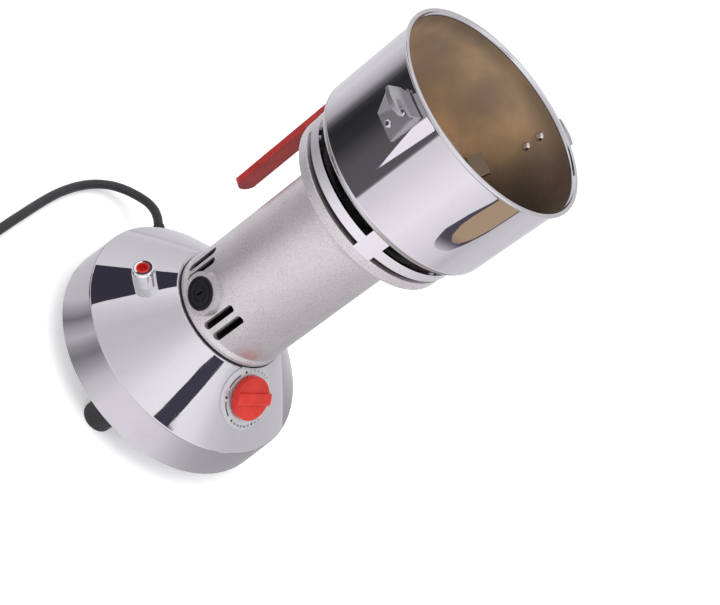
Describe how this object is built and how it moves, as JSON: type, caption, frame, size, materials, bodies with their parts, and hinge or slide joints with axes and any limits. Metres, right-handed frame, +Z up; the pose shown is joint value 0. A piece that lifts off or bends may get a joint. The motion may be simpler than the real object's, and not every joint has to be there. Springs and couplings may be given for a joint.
{
  "type": "electric coffee grinder",
  "caption": "Upright high-speed grinder: round base with timer knob, motor column, ring of air gaps and open steel bowl with blades.",
  "frame": {"origin": "on the axis of the column, at the floor under the rubber feet", "axes": "+Z up along the column, -Y towards the timer knob, +Y towards the handle, +X to the right when facing the knob"},
  "size_m": [0.4066, 0.3111, 0.3713],
  "materials": {
    "polished_steel": "stainless sheet polished to a mirror",
    "sheet_steel": "plain stainless sheet with a satin surface",
    "cast_metal": "die-cast aluminium in a fine hammered silver-grey paint",
    "screw_steel": "zinc-plated steel",
    "black_rubber": "matte black rubber",
    "cord_plastic": "smooth black flexible cord sheath",
    "tie_plastic": "black plastic strip",
    "red_plastic": "glossy red moulded plastic",
    "black_plastic": "black moulded plastic",
    "pale_plastic": "pale moulded plastic",
    "dial_print": "silver foil dial with a fine printed scale",
    "chromed_steel": "bright chrome plating",
    "laminated_steel": "stacked sheet steel, lightly oiled",
    "copper_wire": "varnished copper wire",
    "copper_bar": "copper segments",
    "brass": "plain brass",
    "carbon": "pressed carbon"
  },
  "bodies": {
    "base": {"base_shell": "polished_steel", "bottom_plate": "sheet_steel", "bottom_plate_screws": "screw_steel", "rubber_feet": "black_rubber", "foot_screws": "screw_steel", "housing_gasket": "black_rubber", "motor_housing": "cast_metal", "housing_screws": "screw_steel", "vent_ring": "polished_steel", "bowl": "polished_steel", "bowl_screws": "screw_steel", "latch_keepers": "sheet_steel", "keeper_rivets": "polished_steel", "handle": "red_plastic", "handle_screws": "screw_steel", "bearing_bracket": "cast_metal", "bracket_screws": "screw_steel", "upper_bearing": "screw_steel", "lower_bearing": "screw_steel", "stator_core": "laminated_steel", "field_coils": "copper_wire", "brush_holders": "brass", "carbon_brushes": "carbon", "brush_springs": "screw_steel", "brush_caps": "black_plastic", "dial_pad": "dial_print", "timer_mechanism": "pale_plastic", "timer_nut": "screw_steel", "button_sleeve": "chromed_steel", "sleeve_nut": "screw_steel", "overload_switch": "black_plastic", "terminal_block": "pale_plastic", "cord_clamp": "black_plastic", "inner_lead": "cord_plastic", "shaft_seal": "black_rubber", "seal_cap": "polished_steel", "seal_screws": "screw_steel", "strain_relief": "black_rubber", "cord": "cord_plastic", "cord_coil": "cord_plastic", "cord_tie": "tie_plastic", "cord_tail": "cord_plastic", "plug_body": "cord_plastic", "plug_pins": "brass"},
    "rotor": {"motor_shaft": "screw_steel", "bearing_inner_rings": "screw_steel", "armature_core": "laminated_steel", "armature_windings": "copper_wire", "commutator": "copper_bar", "cooling_fan": "black_plastic", "lower_blade": "sheet_steel", "upper_blade": "sheet_steel", "blade_spacer": "sheet_steel", "blade_nut": "sheet_steel"},
    "timer": {"timer_knob": "red_plastic", "timer_spindle": "screw_steel"},
    "button": {"reset_button": "red_plastic"}
  },
  "joints": [
    {"name": "rotor_spin", "type": "hinge", "parent": "base", "child": "rotor", "pos_m": [0, 0, 0.2], "axis": [0, 0, 1], "continuous": true},
    {"name": "timer_turn", "type": "hinge", "parent": "base", "child": "timer", "pos_m": [0.00222, -0.06697, 0.08163], "axis": [0.0223, -0.6713, 0.7408], "range_deg": [-270, 40]},
    {"name": "reset_press", "type": "slide", "parent": "base", "child": "button", "axis": [0.6155, -0.2689, -0.7408], "range_m": [0, 0.003], "stiffness_N_per_m": 600, "springref_m": -0.002}
  ]
}
